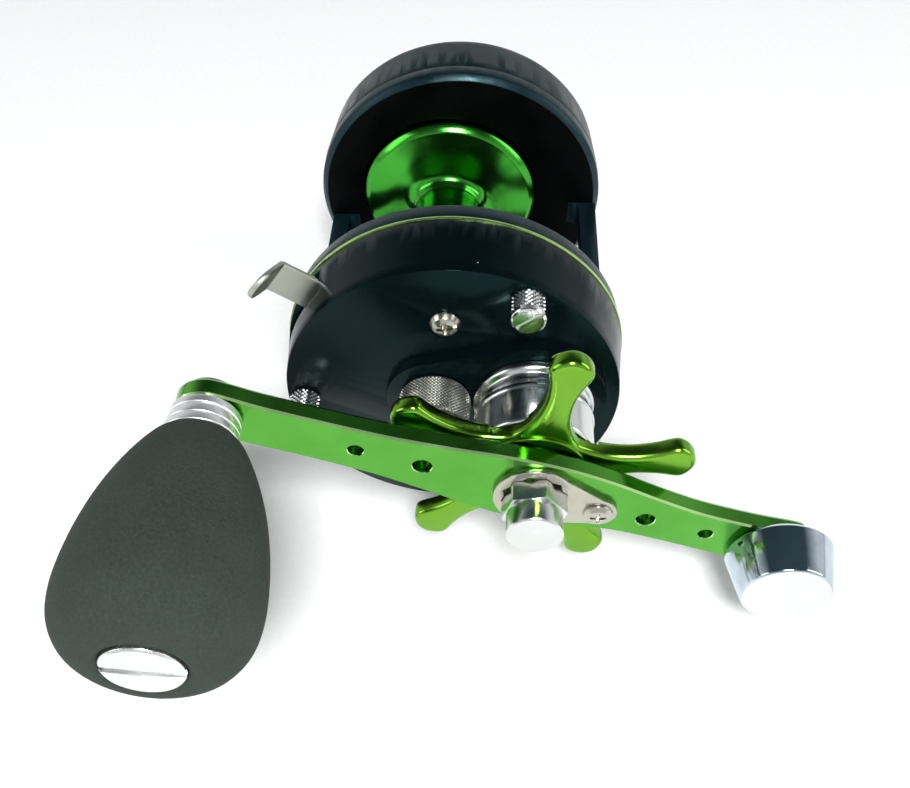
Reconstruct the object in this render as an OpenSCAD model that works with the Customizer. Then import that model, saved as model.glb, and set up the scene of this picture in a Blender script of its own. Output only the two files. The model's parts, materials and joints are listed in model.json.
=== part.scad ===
// Conventional (drum) fishing reel, right-hand crank, star drag, no level wind.
// +X runs along the spool axis towards the handle, +Y points to the rod tip, +Z is up.
// The origin is on the underside of the reel foot, below the middle of the spool.

/* [Frame] */
// Largest radius of the handle-side cover and frame ring
plate_r = 27.9; // [27.5:0.1:30]
// Radius of the far side plate and its frame ring
left_r = 26.7; // [26.4:0.1:27.5]
// Offset of the handle-side cover towards the rod tip, which makes room for the gears
cover_y = 0.7; // [0:0.1:1.2]
// Half the clear width between the two frame rings
window_half = 18.4; // [18:0.1:21]
// Width of each frame ring along the spool axis
ring_w = 3.4; // [3:0.1:4]
// Width of the rod-tip side pillar, front to back
pillar_w = 3.1; // [2.5:0.1:5]
// Radius of the hole in each ring that the spool passes through
ring_bore_r = 16.7; // [16.6:0.1:17.5]

/* [Foot] */
// Length of the reel foot along the rod
foot_len = 64; // [60:1:70]
// Width of the reel foot
foot_w = 13; // [12:0.5:14]
// Thickness of the foot at its middle
foot_t = 2.8; // [2.4:0.1:3.2]

/* [Handle-side cover] */
// Length of the straight wall of the cover
cover_wall = 6.8; // [6.5:0.1:8]
// Depth of the bevel between the wall and the face
bevel_d = 3.7; // [3:0.1:4]
// Height of the raised figure-eight boss
boss_h = 1.8; // [1.6:0.1:2.6]
// Radius at which the thumb screws stand
thumb_screw_pcr = 24.3; // [23:0.1:24.3]

/* [Axes] */
// Rod-tip side offset of the main shaft from the plate centre
shaft_y = 13.8; // [13.7:0.1:13.9]
// Height of both axes above the plate centre
axis_up = 1; // [0:0.1:1.2]

/* [Spool] */
// Radius of the spool flanges
flange_r = 16.3; // [15:0.1:16.4]
// Radius of the arbor that the line is wound on
arbor_r = 6.3; // [6:0.1:7]

/* [Crank] */
// Distance from the main shaft to the knob
arm_len = 49.3; // [46:0.1:54]
// Distance from the main shaft to the counterweight
tail_len = 41.3; // [36:0.1:44]
// Thickness of the handle arm
arm_t = 3.2; // [2.8:0.1:3.4]
// Angle of the crank below level on the rod-tip side
crank_tilt = 18.6; // [0:0.1:45]

/* [Star drag] */
// Reach of the star's arms from the shaft axis
star_r = 24.3; // [22:0.1:25.5]
// Turn of the first star arm above level
star_turn = 7; // [0:0.5:10]

/* [Hidden] */
$fn = 96;
plate_z = 28;
axis_z = plate_z + axis_up;

// Gearing; the gears set the distance between the two axes
gear_module = 0.4;
gear_teeth = 63;
pinion_teeth = 16;
pitch_gear = gear_module * gear_teeth / 2;
pitch_pinion = gear_module * pinion_teeth / 2;
spool_y = shaft_y - pitch_gear - pitch_pinion;
eps = 0.01;

// Levels along X, from the far plate to the crank knob
left_in = -window_half;
left_mid = left_in - ring_w;
left_out = -33.6;
right_in = window_half;
right_mid = right_in + ring_w;
accent_t = 0.6;
cover_x = right_mid + accent_t;
bevel_x = cover_x + cover_wall;
face_x = bevel_x + bevel_d;
inner_face_x = face_x - 2;
boss_x = face_x + boss_h;
sleeve_end_x = boss_x + 11.9;
star_x = sleeve_end_x + 0.3;
arm_x = star_x + 3;
arm_front_x = arm_x + arm_t;

// Radii shared by parts that fit together
cover_in_r = 26.1;
wall_end_r = 27.25;
face_r = 27;
left_back_r = 26;
recess_r = 25.8;
spool_shaft_r = 1.5;
run_gap = 0.05;
main_shaft_r = 3;
sleeve_bore_r = 7;
nipple_r = 4.6;
bearing_r = 4;
post_r = 1.5;
post_z = 9.6;
thumb_angles = [62.3, 184.5, 302];
plate_screw_angles = [30, 150, 270];
bridge_screw_angles = [78, 198, 275];
cover_screw_y = -0.4;
cover_screw_z = plate_z + 16.4;

// Gear levels
gear_x = cover_x + 1.5;
gear_w = 3;
pinion_x = cover_x;

// Clutch lever
lever_dir = 146.5;
lever_pivot_r = 15;
lever_pivot = [lever_pivot_r * cos(lever_dir), plate_z + lever_pivot_r * sin(lever_dir)];
lever_x = cover_x + 2.4;
lever_t = 0.9;
nose_u = -6;
clutch_lift = 1.3;

// Anti-reverse dog
dog_pivot = [shaft_y - 3, axis_z - 12.6];

// Clicker, below the spool axis on the far side
click_pos = [spool_y, axis_z - 14];
click_travel = 3;
click_tip = 8.9 + click_travel;

// Knob
knob_x = arm_front_x + 0.3;

// Colours
navy = [0.07, 0.10, 0.15];
green = [0.27, 0.62, 0.12];
lime = [0.55, 0.78, 0.22];
steel = [0.75, 0.76, 0.77];
brass = [0.80, 0.66, 0.32];
fibre = [0.35, 0.28, 0.2];
foam = [0.24, 0.28, 0.26];

// ---------- helpers ----------

// A solid of revolution about the X axis; each point is [radius, x]
module turned(points, y = 0, z = 0, sides = 96) {
    translate([0, y, z]) rotate([0, 90, 0]) rotate_extrude($fn = sides) polygon(points);
}

// A rod along X from x0 to x1
module rod_x(x0, x1, r, y = 0, z = 0, sides = 64) {
    translate([x0, y, z]) rotate([0, 90, 0]) cylinder(h = x1 - x0, r = r, $fn = sides);
}

// A tube along X
module tube_x(x0, x1, r_out, r_in, y = 0, z = 0, sides = 64) {
    difference() {
        rod_x(x0, x1, r_out, y, z, sides);
        rod_x(x0 - 1, x1 + 1, r_in, y, z, sides);
    }
}

// A flat outline in the Y-Z plane, made thick along X from x0 to x1
module slab_x(x0, x1) {
    translate([x0, 0, 0]) rotate([90, 0, 90]) linear_extrude(x1 - x0) children();
}

// Puts children at a polar place around the plate centre
module at_plate(r, angle) {
    translate([0, r * cos(angle), plate_z + r * sin(angle)]) children();
}

// Puts children at a polar place around the handle-side cover's centre
module at_cover(r, angle) {
    translate([0, cover_y + r * cos(angle), plate_z + r * sin(angle)]) children();
}

// Moves children to the main shaft's axis
module at_shaft() {
    translate([0, shaft_y, axis_z]) children();
}

// Moves children to the spool's axis
module at_spool() {
    translate([0, spool_y, axis_z]) children();
}

// Turns the crank's own frame so that its Y axis runs along the arm
module at_crank() {
    at_shaft() rotate([-crank_tilt, 0, 0]) children();
}

// Trapezoid gear teeth as a flat outline, one space facing +Y
module gear_outline(teeth, pitch_r, turn) {
    step = 360 / teeth;
    tip = pitch_r + 0.75 * gear_module;
    root = pitch_r - 1.15 * gear_module;
    polygon([for (i = [0 : teeth - 1], k = [[root, -0.36], [tip, -0.13], [tip, 0.13], [root, 0.36]])
        let (a = turn + step * (i + 0.5 + k[1])) [k[0] * cos(a), k[0] * sin(a)]]);
}

// A cross recess for a Phillips head, cut from x down to x - depth
module cross_recess(x, depth, size, turn = 0) {
    rotate([turn, 0, 0]) for (a = [0, 90]) rotate([a, 0, 0])
        translate([x - depth, -size / 2, -size / 9]) cube([depth + 1, size, size / 4.5]);
}

// ---------- frame and foot ----------

module left_frame_ring() {
    color(navy) difference() {
        turned([[0, left_mid], [left_r, left_mid], [left_r, left_in - 1.05],
            [left_r - 1.05, left_in], [0, left_in]], 0, plate_z, 128);
        rod_x(left_mid - 1, left_in + 1, ring_bore_r, spool_y, axis_z, 96);
        for (a = plate_screw_angles) at_plate(23.2, a) rod_x(left_mid - 1, left_mid + 2.4, 1.1, sides = 24);
    }
}

module right_frame_ring() {
    color(navy) difference() {
        turned([[0, right_in], [plate_r - 0.6, right_in], [plate_r - 0.3, right_in + 0.3],
            [plate_r, right_mid], [0, right_mid]], cover_y, plate_z, 128);
        rod_x(right_in - 1, right_mid + 1, ring_bore_r, spool_y, axis_z, 96);
        rod_x(right_mid - 2, right_mid + 1, recess_r, cover_y, plate_z, 96);
        for (a = bridge_screw_angles) at_cover(21.5, a) rod_x(right_in + 0.3, right_mid, 1, sides = 24);
    }
}

// A pillar with flared ends: top view outline, made thick along Z
module pillar(y0, y1, z0, z1) {
    flare = 2;
    side = y0 > 0 ? y0 : y1;
    inward = y0 > 0 ? -1 : 1;
    color(navy) difference() {
        union() {
            translate([left_in, y0, z0]) cube([2 * window_half, y1 - y0, z1 - z0]);
            for (s = [-1, 1]) translate([s < 0 ? left_in : right_in - flare, min(side, side + inward * flare), z0])
                cube([flare, flare, z1 - z0]);
        }
        for (s = [-1, 1]) translate([s * (window_half - flare), side + inward * flare, z0 - 1])
            cylinder(h = z1 - z0 + 2, r = flare, $fn = 48);
    }
}

module front_pillar() {
    pillar(26.1 - pillar_w, 26.1, plate_z - 5.2, plate_z - 0.5);
}

module rear_pillar() {
    pillar(-24.9, pillar_w - 24.9, plate_z - 9, plate_z - 4.8);
}

module foot_bridge() {
    color(navy) difference() {
        translate([left_in, -8.6, foot_t]) cube([2 * window_half, 17.2, 3]);
        for (x = [-3.6, 3.6], y = [-5.5, 5.5]) translate([x, y, 0]) cylinder(h = 10, r = 1.2, $fn = 32);
    }
}

module reel_foot() {
    half = foot_len / 2;
    toe = 11.4 / 2;
    color(navy) difference() {
        intersection() {
            // seen from the side: thick saddle, toes that thin towards their tips
            translate([-foot_w, 0, 0]) rotate([90, 0, 90]) linear_extrude(2 * foot_w)
                polygon([[-half, 0], [half, 0], [half, 1.3], [14, foot_t], [-14, foot_t], [-half, 1.3]]);
            // seen from above: waist between the saddle and rounded toes
            union() {
                translate([-foot_w / 2, -12, 0]) cube([foot_w, 24, foot_t + 1]);
                for (s = [-1, 1]) {
                    linear_extrude(foot_t + 1) polygon([[-foot_w / 2, s * 11], [foot_w / 2, s * 11],
                        [toe - 0.25, s * (half - toe)], [0.25 - toe, s * (half - toe)]]);
                    translate([0, s * (half - toe), 0]) cylinder(h = foot_t + 1, r = toe, $fn = 64);
                }
            }
        }
        for (x = [-3.6, 3.6], y = [-5.5, 5.5]) translate([x, y, -1]) {
            cylinder(h = 10, r = 1.2, $fn = 32);
            cylinder(h = 1 + 1.1, r = 2.2, $fn = 32);
        }
    }
}

module foot_rivets() {
    color(steel) for (x = [-3.6, 3.6], y = [-5.5, 5.5]) translate([x, y, 0]) {
        translate([0, 0, 0.2]) cylinder(h = 0.9, r = 2.2, $fn = 32);
        translate([0, 0, 1.1]) cylinder(h = foot_t + 3 - 1.1, r = 1.2, $fn = 32);
        translate([0, 0, foot_t + 3]) cylinder(h = 0.6, r = 1.9, $fn = 32);
    }
}

// ---------- far side plate and clicker ----------

module left_side_plate() {
    wall = 1.6;
    edge_r = 3.5;
    color(navy) difference() {
        union() {
            turned([[0, left_out + wall], [left_back_r - 3.9, left_out + wall],
                [left_back_r - wall, left_out + 3.9], [left_r - wall, left_mid], [left_r, left_mid],
                for (a = [0 : 15 : 90]) [left_back_r - edge_r * (1 - cos(a)), left_out + edge_r * (1 - sin(a))],
                [0, left_out]], 0, plate_z, 128);
            // bearing seat
            rod_x(left_out + wall - eps, left_mid - 0.4, 6, spool_y, axis_z);
            // screw bosses
            for (a = plate_screw_angles) at_plate(23.2, a) rod_x(left_out + wall - eps, left_mid, 2.3, sides = 32);
        }
        // bearing bore and the blind bore of its outer cap
        rod_x(left_mid - 3.6, left_mid, bearing_r, spool_y, axis_z);
        rod_x(left_mid - 5, left_mid, 2.6, spool_y, axis_z);
        rod_x(left_out - 1, left_out + 1, 6.2, spool_y, axis_z);
        for (a = plate_screw_angles) at_plate(23.2, a) {
            rod_x(left_out - 1, left_mid + 1, 1.15, sides = 24);
            rod_x(left_out - 1, left_out + 1.3, 2.1, sides = 32);
        }
        // slot for the clicker button's stem
        translate([left_out - 1, click_pos[0] - 1.3, click_pos[1] - 1.3]) cube([4, 2.6, 2.6 + click_travel]);
    }
}

module left_plate_screws() {
    color(steel) for (a = plate_screw_angles) at_plate(23.2, a) difference() {
        union() {
            rod_x(left_out, left_out + 1.3, 2, sides = 32);
            rod_x(left_out + 1.3, left_mid + 2.2, 1.1, sides = 24);
        }
        for (q = [0, 90]) rotate([q, 0, 0]) translate([left_out - 1, -1.2, -0.27]) cube([1.7, 2.4, 0.54]);
    }
}

// A sealed ball bearing as one turned piece: two races and a recessed shield
module ball_bearing(x0, w, r_out, r_in) {
    m = (r_out + r_in) / 2;
    s = (r_out - r_in) / 5;
    turned([[r_in, x0], [m - s, x0], [m - s, x0 + 0.3], [m + s, x0 + 0.3], [m + s, x0], [r_out, x0],
        [r_out, x0 + w], [m + s, x0 + w], [m + s, x0 + w - 0.3], [m - s, x0 + w - 0.3], [m - s, x0 + w],
        [r_in, x0 + w]], sides = 64);
}

module left_bearing() {
    color(steel) at_spool() ball_bearing(left_mid - 3.5, 2.8, bearing_r, spool_shaft_r + run_gap);
}

module left_bearing_cap() {
    color(steel) at_spool() difference() {
        turned([[0, left_out - 0.5], [5.2, left_out - 0.5], [6.1, left_out + 0.1], [6.1, left_out + 1], [0, left_out + 1]]);
        translate([left_out - 1.2, -3.6, -0.6]) cube([1.3, 7.2, 1.2]);
    }
}

// The clicker slides up to bring its pawl towards the ratchet on the spool
module clicker_button() {
    color(steel) translate([0, click_pos[0], click_pos[1]]) {
        difference() {
            rod_x(left_out - 2.2, left_out - 0.3, 3);
            for (z = [-1.6, 0, 1.6]) translate([left_out - 3, -4, z - 0.25]) cube([1.2, 8, 0.5]);
        }
        rod_x(left_out - 0.3, left_mid + 0.5, 1.1, sides = 32);
    }
}

module clicker_pawl() {
    tip_z = axis_z - click_tip;
    color(brass) slab_x(left_mid + 0.5, left_mid + 1.5) polygon([[click_pos[0] - 1.6, click_pos[1] - 1.5],
        [click_pos[0] + 1.6, click_pos[1] - 1.5], [click_pos[0] + 1.2, tip_z - 1.2], [click_pos[0] + 0.3, tip_z],
        [click_pos[0] - 0.3, tip_z], [click_pos[0] - 1.2, tip_z - 1.2]]);
}

// Spring washer that holds the button against the plate
module clicker_spring() {
    color(steel) tube_x(left_out + 1.7, left_out + 2.2, 2.4, 1.1, click_pos[0], click_pos[1], 32);
}

// ---------- handle-side housing ----------

module accent_ring() {
    color(lime) tube_x(right_mid, cover_x, plate_r + 0.1, recess_r, cover_y, plate_z, 128);
}

module gear_plate() {
    color(steel) difference() {
        rod_x(right_mid - 2, right_mid, recess_r - 0.05, cover_y, plate_z, 96);
        at_spool() rod_x(right_mid - 3, right_mid + 1, 4.2);
        at_shaft() rod_x(right_mid - 3, right_mid + 1, 4);
        for (s = [-1, 1]) translate([0, spool_y, axis_z + s * post_z]) rod_x(right_mid - 3, right_mid + 1, 1.2, sides = 32);
        translate([0, lever_pivot[0], lever_pivot[1]]) rod_x(right_mid - 3, right_mid + 1, 1.2, sides = 32);
        translate([0, dog_pivot[0], dog_pivot[1]]) rod_x(right_mid - 3, right_mid + 1, 1.2, sides = 32);
        for (a = bridge_screw_angles) at_cover(21.5, a) rod_x(right_mid - 3, right_mid + 1, 1, sides = 24);
        for (a = thumb_angles) at_cover(thumb_screw_pcr, a) rod_x(right_mid - 3, right_mid + 1, 1.25, sides = 32);
    }
}

module gear_plate_screws() {
    color(steel) for (a = bridge_screw_angles) at_cover(21.5, a) difference() {
        union() {
            rod_x(right_in + 0.3, right_mid, 1, sides = 24);
            rod_x(right_mid, right_mid + 0.7, 1.7, sides = 32);
        }
        translate([right_mid + 0.35, -2, -0.2]) cube([1, 4, 0.4]);
    }
}

// Posts that guide the yoke, studs of the lever and the dog, and the cover screw's pillar
module plate_studs() {
    color(steel) {
        for (s = [-1, 1]) translate([0, spool_y, axis_z + s * post_z]) {
            rod_x(right_mid - 2, right_mid, 1.2, sides = 32);
            rod_x(right_mid, inner_face_x, post_r, sides = 32);
        }
        translate([0, lever_pivot[0], lever_pivot[1]]) {
            rod_x(right_mid - 2, right_mid, 1.2, sides = 32);
            rod_x(right_mid, lever_x - 0.1, 2.6, sides = 32);
            rod_x(lever_x - 0.1, inner_face_x, post_r, sides = 32);
        }
        translate([0, dog_pivot[0], dog_pivot[1]]) {
            rod_x(right_mid - 2, right_mid, 1.2, sides = 32);
            rod_x(right_mid, right_mid + 1.7, 1.1, sides = 32);
        }
        difference() {
            rod_x(right_mid, inner_face_x, 2.2, cover_screw_y, cover_screw_z, 32);
            rod_x(inner_face_x - 4, inner_face_x + 1, 1.2, cover_screw_y, cover_screw_z, 32);
        }
    }
}

// Two lobes joined by their outer tangents, as a flat outline
module two_lobes(y0, y1, z, r0, r1) {
    a = acos((r0 - r1) / (y1 - y0));
    c0 = r0 - 0.02;
    c1 = r1 - 0.02;
    translate([y0, z]) circle(r = r0, $fn = 96);
    translate([y1, z]) circle(r = r1, $fn = 96);
    polygon([[y0 + c0 * cos(a), z + c0 * sin(a)], [y1 + c1 * cos(a), z + c1 * sin(a)],
        [y1 + c1 * cos(a), z - c1 * sin(a)], [y0 + c0 * cos(a), z - c0 * sin(a)]]);
}

module right_cover() {
    color(navy) difference() {
        union() {
            turned([[cover_in_r, cover_x], [plate_r, cover_x], [wall_end_r, bevel_x], [face_r, face_x], [0, face_x],
                [0, inner_face_x], [cover_in_r - 1.9, inner_face_x], [cover_in_r, inner_face_x - 2]],
                cover_y, plate_z, 128);
            slab_x(face_x - eps, boss_x) two_lobes(spool_y, shaft_y, axis_z, 7.9, 11.8);
            // threaded nipple under the cast-control cap
            at_spool() rod_x(face_x - eps, boss_x + 4.7, nipple_r);
            // inner posts of the thumb screws
            for (a = thumb_angles) at_cover(thumb_screw_pcr, a) rod_x(cover_x, inner_face_x + 0.5, 2.1, sides = 32);
        }
        at_spool() rod_x(inner_face_x - 1, boss_x + 6, bearing_r);
        at_shaft() rod_x(inner_face_x - 1, boss_x + 1, 8.4);
        for (a = thumb_angles) at_cover(thumb_screw_pcr, a) rod_x(cover_x - 1, face_x + 1, 1.35, sides = 32);
        translate([0, cover_screw_y, cover_screw_z]) rod_x(inner_face_x - 1, face_x + 1, 1.25, sides = 32);
        // slot in the wall for the clutch lever
        translate([0, 0, plate_z]) rotate([151, 0, 0]) translate([lever_x - 1, 22.5, -5.7]) cube([4.4, 8, 13.9]);
    }
}

module thumb_screws() {
    head_x = face_x + 4.7;
    color(steel) for (a = thumb_angles) at_cover(thumb_screw_pcr, a) difference() {
        union() {
            turned([[0, face_x], [2.45, face_x], [2.45, head_x - 1.3], [2.65, head_x - 1.1], [2.65, head_x - 0.3],
                [2.35, head_x], [0, head_x]], sides = 48);
            rod_x(right_in + 1.6, face_x, 1.2, sides = 32);
        }
        rotate([38, 0, 0]) translate([head_x - 0.8, -4, -0.4]) cube([3, 8, 0.8]);
    }
}

module cover_screw() {
    color(steel) translate([0, cover_screw_y, cover_screw_z]) difference() {
        union() {
            turned([[0, face_x], [2.4, face_x], [2.4, face_x + 0.4], [1.9, face_x + 1.2], [1.2, face_x + 1.55],
                [0, face_x + 1.65]], sides = 48);
            rod_x(inner_face_x - 3.6, face_x, 1.2, sides = 32);
        }
        cross_recess(face_x + 1.65, 1, 2.6, 10);
    }
}

module right_bearing() {
    color(steel) at_spool() ball_bearing(boss_x + 1.4, 2.8, bearing_r, spool_shaft_r + run_gap);
}

module cap_o_ring() {
    color([0.08, 0.08, 0.08]) at_spool() tube_x(boss_x, boss_x + 0.7, nipple_r + 0.4, nipple_r, sides = 48);
}

// The polished flanged tube around the main shaft, which holds the one-way bearing
module drag_sleeve() {
    color([0.85, 0.86, 0.87]) at_shaft() turned([
        [8.4, inner_face_x + 0.2], [8.4, boss_x], [9.35, boss_x], [9.7, boss_x + 0.35], [9.7, boss_x + 1.1],
        [9.45, boss_x + 1.4], [8.8, boss_x + 1.9], [8.65, boss_x + 2.8], [8.9, boss_x + 3.7], [9.55, boss_x + 4.3],
        [9.6, boss_x + 5.0], [9.35, boss_x + 5.3], [9.35, sleeve_end_x - 0.3], [9.05, sleeve_end_x],
        [5.4, sleeve_end_x], [5.4, sleeve_end_x - 0.8], [sleeve_bore_r, sleeve_end_x - 0.8],
        [sleeve_bore_r, boss_x + 1.2], [5.4, boss_x + 1.2], [5.4, inner_face_x + 0.2]], sides = 96);
}

module one_way_bearing() {
    color(steel) at_shaft() tube_x(boss_x + 1.4, sleeve_end_x - 1.2, sleeve_bore_r, 4.05);
}

module shaft_bush() {
    color(brass) at_shaft() tube_x(right_mid - 2, right_mid, 4, 2.55);
}

// ---------- free-spool clutch ----------

module yoke_springs() {
    turns = 4;
    color(steel) for (s = [-1, 1]) translate([0, spool_y, axis_z + s * post_z])
        for (i = [0 : turns - 1]) tube_x(inner_face_x - 0.75 - i * 0.65, inner_face_x - 0.35 - i * 0.65, 2.5, 1.7, sides = 32);
}

// A bent strip: hub on its stud, cam nose inside, thumb tongue outside
module clutch_lever() {
    reach = 18.4;
    tab_w = 6.4;
    tongue = 6.6;
    nose_t = 0.45;
    color([0.78, 0.78, 0.76]) translate([lever_x, lever_pivot[0], lever_pivot[1]]) rotate([lever_dir, 0, 0]) difference() {
        union() {
            rod_x(0, lever_t, 4);
            translate([0, 0, -tab_w / 2]) cube([lever_t, reach, tab_w]);
            translate([lever_t / 2, reach, -tab_w / 2]) cylinder(h = tab_w, r = lever_t / 2, $fn = 32);
            // thumb tongue, bent towards the handle
            translate([lever_t / 2, reach, 0]) rotate([0, 0, -62]) translate([-lever_t / 2, 0, 0]) {
                translate([0, 0, -tab_w / 2]) cube([lever_t, tongue - tab_w / 2, tab_w]);
                rod_x(0, lever_t, tab_w / 2, tongue - tab_w / 2, 0);
            }
            // nose with a cam ramp that lifts the yoke
            intersection() {
                translate([0, nose_u - 1.2, -4]) cube([lever_t + 1, 8, 8]);
                translate([0, nose_u + 2, 0]) rotate([90, 0, 0]) linear_extrude(4)
                    polygon([[0, -2.2], [nose_t, -2.2], [nose_t, 0], [nose_t + clutch_lift, 2.5],
                        [nose_t + clutch_lift, 3.4], [0, 3.4]]);
            }
            translate([0, nose_u + 1.5, -2]) cube([nose_t, 3, 4]);
        }
        rod_x(-1, lever_t + 2, post_r + run_gap);
    }
}

module clutch_yoke() {
    yoke_x = pinion_x + 4.35;
    yoke_t = 1;
    pad = [lever_pivot[0] + nose_u * cos(lever_dir), lever_pivot[1] + nose_u * sin(lever_dir)];
    color([0.75, 0.76, 0.77]) difference() {
        union() {
            translate([yoke_x, spool_y - 6.4, axis_z - post_z]) cube([yoke_t, 3.2, 2 * post_z]);
            for (s = [-1, 1]) {
                translate([0, spool_y, axis_z + s * post_z]) rod_x(yoke_x, yoke_x + yoke_t, 3, sides = 48);
                translate([yoke_x, spool_y - 6.4, axis_z + s * post_z - 2]) cube([yoke_t, 6, 4]);
                translate([yoke_x, spool_y - 3.6, axis_z + s * 4.2 - 1.5]) cube([yoke_t, 5.4, 3]);
            }
            // pad that rides on the lever's cam
            translate([yoke_x - 1, pad[0] - 0.5, pad[1] - 0.5]) cube([1.2, 1, 1]);
            translate([yoke_x, pad[0] - 1.4, pad[1] - 1.4]) cube([yoke_t, 3, 2.8]);
        }
        for (s = [-1, 1]) translate([0, spool_y, axis_z + s * post_z]) rod_x(yoke_x - 1, yoke_x + 3, post_r + run_gap, sides = 32);
        at_spool() rod_x(yoke_x - 1, yoke_x + 3, 2.9, sides = 48);
    }
}

// ---------- spool, shaft and pinion ----------

module pinion() {
    color(brass) at_spool() difference() {
        union() {
            rod_x(pinion_x - 2.4, pinion_x + 0.1, 3.3);
            slab_x(pinion_x, pinion_x + 4.1) gear_outline(pinion_teeth, pitch_pinion, 0);
            rod_x(pinion_x + 4, pinion_x + 5.6, 2.5);
            rod_x(pinion_x + 5.5, pinion_x + 6.4, 3.3);
        }
        rod_x(pinion_x - 4, pinion_x + 8, spool_shaft_r + run_gap);
        // slot that takes the spool's cross pin
        translate([pinion_x - 4, -4, -0.85]) cube([2.9, 8, 1.7]);
    }
}

module spool() {
    rim = 0.9;
    dish_x = window_half - 2;
    flange = [[flange_r, window_half + 0.4], [flange_r, window_half - 1], [flange_r - 1, dish_x],
        [8, dish_x - 2.6], [6.8, dish_x - 3.6], [6.5, dish_x - 4.3], [arbor_r, dish_x - 4.6]];
    color(green) at_spool() turned(concat(
        [for (p = flange) [p[0], -p[1]]],
        [for (i = [len(flange) - 1 : -1 : 0]) flange[i]],
        [[flange_r - rim, window_half + 0.4], [flange_r - 1.4, window_half - 0.5], [8.6, window_half - 2.6],
        [5.8, window_half - 3.6], [3.6, window_half - 3.6], [3.6, window_half + 0.4], [spool_shaft_r, window_half + 0.4],
        [spool_shaft_r, -window_half - 0.4], [3.6, -window_half - 0.4], [3.6, -window_half + 3.6],
        [5.8, -window_half + 3.6], [8.6, -window_half + 2.6], [flange_r - 1.4, -window_half + 0.5],
        [flange_r - rim, -window_half - 0.4]]), sides = 128);
}

module spool_shaft() {
    pin_x = pinion_x - 1.95;
    color(steel) at_spool() difference() {
        rod_x(left_mid - 4.2, boss_x + 4.9, spool_shaft_r);
        translate([pin_x, 0, 0]) rotate([90, 0, 0]) translate([0, 0, -5]) cylinder(h = 10, r = 0.7, $fn = 24);
    }
}

module spool_pin() {
    pin_x = pinion_x - 1.95;
    color(steel) at_spool() translate([pin_x, 0, 0]) rotate([90, 0, 0]) translate([0, 0, -3.2]) cylinder(h = 6.4, r = 0.7, $fn = 24);
}

module click_ratchet() {
    teeth = 20;
    color(steel) at_spool() difference() {
        slab_x(left_mid + 0.5, left_mid + 1.5) polygon([for (i = [0 : teeth - 1], k = [[7.4, 0], [8.6, 0.35], [8.6, 0.5], [7.4, 0.85]])
            let (a = 360 / teeth * (i + k[1])) [k[0] * cos(a), k[0] * sin(a)]]);
        rod_x(left_mid - 1, left_mid + 3, spool_shaft_r);
    }
}

module cast_control_cap() {
    r = 5.8;
    seal_r = nipple_r + 0.5;
    color(steel) at_spool() turned([
        [nipple_r + 0.08, boss_x + 0.8], [seal_r, boss_x + 0.8], [seal_r, boss_x + 0.1], [r - 0.3, boss_x + 0.1],
        [r, boss_x + 0.5], [r, boss_x + 6.7], [r - 0.4, boss_x + 7.4], [4.7, boss_x + 7.7], [0, boss_x + 7.7],
        [0, boss_x + 6.4], [4, boss_x + 6.4], [nipple_r + 0.08, boss_x + 5.4]], sides = 64);
}

module tension_shim() {
    color(brass) at_spool() rod_x(boss_x + 5.6, boss_x + 6.4, 3.4);
}

// ---------- crank, gear and drag ----------

module drive_shaft() {
    color(steel) at_shaft() {
        rod_x(right_mid - 1.9, right_mid + 0.2, 2.5);
        rod_x(right_mid + 0.2, right_mid + 0.6, 5);
        rod_x(right_mid + 0.6, star_x - 0.1, main_shaft_r);
        rod_x(star_x - 0.1, arm_x - 0.3, main_shaft_r);
        // flats that carry the handle arm
        intersection() {
            rod_x(arm_x - 0.3, arm_front_x, main_shaft_r);
            rotate([-crank_tilt, 0, 0]) translate([arm_x - 1, -main_shaft_r, -2.2]) cube([arm_t + 2, 2 * main_shaft_r, 4.4]);
        }
        rod_x(arm_front_x, arm_front_x + 6.2, 2.2);
    }
}

module shaft_ratchet() {
    teeth = 12;
    color(steel) at_shaft() difference() {
        slab_x(right_mid + 0.6, right_mid + 1.6) polygon([for (i = [0 : teeth - 1], k = [[6.8, 0], [8.6, 0.12], [7.4, 0.6], [6.8, 0.92]])
            let (a = 360 / teeth * (i + k[1])) [k[0] * cos(a), k[0] * sin(a)]]);
        rod_x(right_mid, right_mid + 3, main_shaft_r);
    }
}

// The dog rests just clear of the ratchet's teeth
module anti_reverse_dog() {
    color(steel) translate([0, dog_pivot[0], dog_pivot[1]]) difference() {
        slab_x(right_mid + 0.7, right_mid + 1.5) union() {
            circle(r = 2, $fn = 48);
            polygon([[-1.4, 0.8], [1.6, -1.2], [4.6, 2.6], [3.4, 3.6], [2.2, 2.6]]);
        }
        rod_x(right_mid, right_mid + 3, 1.15, sides = 32);
    }
}

module drive_gear() {
    color(brass) at_shaft() difference() {
        slab_x(gear_x, gear_x + gear_w) gear_outline(gear_teeth, pitch_gear, 180 + 180 / gear_teeth);
        rod_x(gear_x + 1, gear_x + gear_w + 1, 9.6);
        rod_x(gear_x - 1, gear_x + gear_w, main_shaft_r + run_gap);
    }
}

// Washers of the drag stack; step 0 is the lowest one in the gear's pocket
module drag_washer(step, r_out) {
    x0 = gear_x + 1 + step * 0.4;
    tube_x(x0, x0 + 0.4, r_out, main_shaft_r);
}

module drag_fibre_washers() {
    color(fibre) at_shaft() for (step = [0, 2, 4]) drag_washer(step, 9.3);
}

module drag_metal_washers() {
    color(steel) at_shaft() for (step = [1, 3, 5]) drag_washer(step, 9.1);
}

module inner_sleeve() {
    color(steel) at_shaft() tube_x(gear_x + 3.4, sleeve_end_x - 0.4, 4, main_shaft_r);
}

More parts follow.
